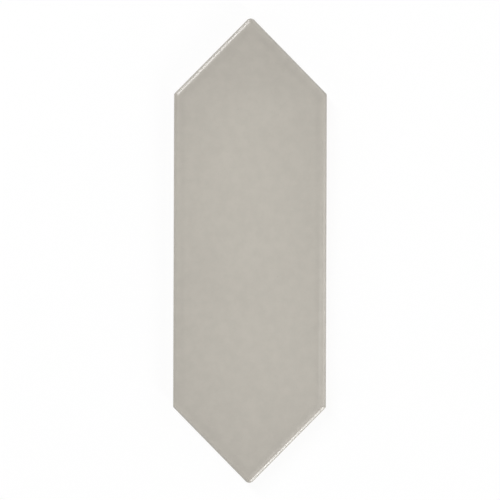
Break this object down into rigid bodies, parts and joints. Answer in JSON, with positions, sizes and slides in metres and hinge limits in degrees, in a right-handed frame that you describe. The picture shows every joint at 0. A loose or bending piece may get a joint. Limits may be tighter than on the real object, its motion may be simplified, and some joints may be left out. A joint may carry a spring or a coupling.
{
  "type": "ceramic wall tile",
  "caption": "Glazed ceramic wall tile: a long hexagon with a point at each end, a softly rolled face edge and a pocketed back for adhesive.",
  "frame": {"origin": "under the middle of the tile, on the plane that the back's rim and ribs touch", "axes": "+Z out of the glazed face, +Y along the tile to one of its points, +X to the right across the two long sides"},
  "size_m": [0.065, 0.1974, 0.008],
  "materials": {
    "glaze": "gloss"
  },
  "bodies": {
    "root": {"tile": "glaze"}
  },
  "joints": []
}
